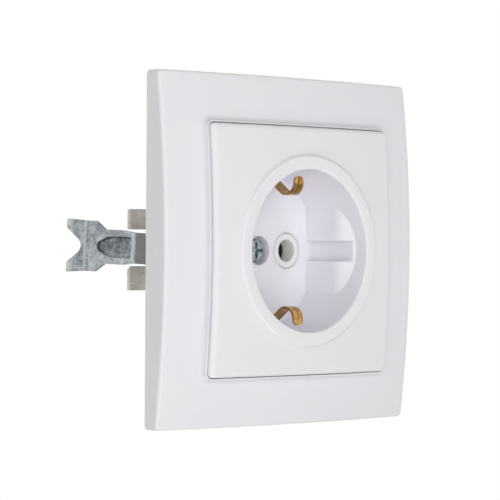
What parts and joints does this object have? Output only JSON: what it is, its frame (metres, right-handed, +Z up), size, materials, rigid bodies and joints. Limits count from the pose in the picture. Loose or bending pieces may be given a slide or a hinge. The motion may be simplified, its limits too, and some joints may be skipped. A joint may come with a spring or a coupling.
{
  "type": "wall socket",
  "caption": "Flush wall socket with a domed square frame, round plug recess with side earth clips, and two spreading claws behind it for the wall box.",
  "frame": {"origin": "middle of the socket on the wall surface, halfway between the two round screw holes, on the rear face of the mounting frame", "axes": "+X to the right seen from the front, +Y into the wall, +Z up"},
  "size_m": [0.084, 0.051, 0.084],
  "materials": {
    "white_plastic": "glossy moulded, pure white",
    "ivory_plastic": "satin moulded, ivory",
    "brass": "rolled strip",
    "frame_steel": "zinc-plated sheet, dull",
    "claw_steel": "blue zinc-plated, mottled",
    "zinc_steel": "blue zinc-plated"
  },
  "bodies": {
    "root": {"outer_frame": "white_plastic", "centre_plate": "white_plastic", "socket_base": "ivory_plastic", "rear_cover": "ivory_plastic", "earth_bracket": "brass", "live_contact": "brass", "neutral_contact": "brass", "mounting_frame": "frame_steel", "left_claw_guide": "frame_steel", "right_claw_guide": "frame_steel", "centre_screw": "zinc_steel", "rear_cover_screws": "zinc_steel", "base_rivets": "zinc_steel", "guide_rivets": "zinc_steel", "live_terminal_screw": "zinc_steel", "neutral_terminal_screw": "zinc_steel", "earth_terminal_screw": "zinc_steel", "live_clamp": "zinc_steel", "neutral_clamp": "zinc_steel", "earth_clamp": "zinc_steel"},
    "left_claw": {"left_claw": "claw_steel"},
    "right_claw": {"right_claw": "claw_steel"},
    "left_claw_nut": {"left_claw_nut": "zinc_steel"},
    "right_claw_nut": {"right_claw_nut": "zinc_steel"},
    "left_claw_screw": {"left_claw_screw": "zinc_steel"},
    "right_claw_screw": {"right_claw_screw": "zinc_steel"}
  },
  "joints": [
    {"name": "left_nut_slide", "type": "slide", "parent": "root", "child": "left_claw_nut", "axis": [0, -1, 0], "range_m": [-0.004, 0.004]},
    {"name": "left_screw_turn", "type": "hinge", "parent": "root", "child": "left_claw_screw", "pos_m": [-0.0228, 0, 0], "axis": [0, 1, 0], "range_deg": [-2900, 2900]},
    {"name": "left_claw_swing", "type": "hinge", "parent": "left_claw_nut", "child": "left_claw", "pos_m": [-0.0228, 0.0156, 0], "axis": [0, 0, 1], "range_deg": [-13.1, 13.1]},
    {"name": "right_nut_slide", "type": "slide", "parent": "root", "child": "right_claw_nut", "axis": [0, -1, 0], "range_m": [-0.004, 0.004]},
    {"name": "right_screw_turn", "type": "hinge", "parent": "root", "child": "right_claw_screw", "pos_m": [0.0228, 0, 0], "axis": [0, 1, 0], "range_deg": [-2900, 2900]},
    {"name": "right_claw_swing", "type": "hinge", "parent": "right_claw_nut", "child": "right_claw", "pos_m": [0.0228, 0.0156, 0], "axis": [0, 0, -1], "range_deg": [-13.1, 13.1]}
  ],
  "couplings": [
    {"joint": "left_screw_turn", "follows": "left_nut_slide", "rad_per_m": 12566},
    {"joint": "left_claw_swing", "follows": "left_nut_slide", "rad_per_m": 56.723},
    {"joint": "right_screw_turn", "follows": "right_nut_slide", "rad_per_m": 12566},
    {"joint": "right_claw_swing", "follows": "right_nut_slide", "rad_per_m": 56.723}
  ]
}
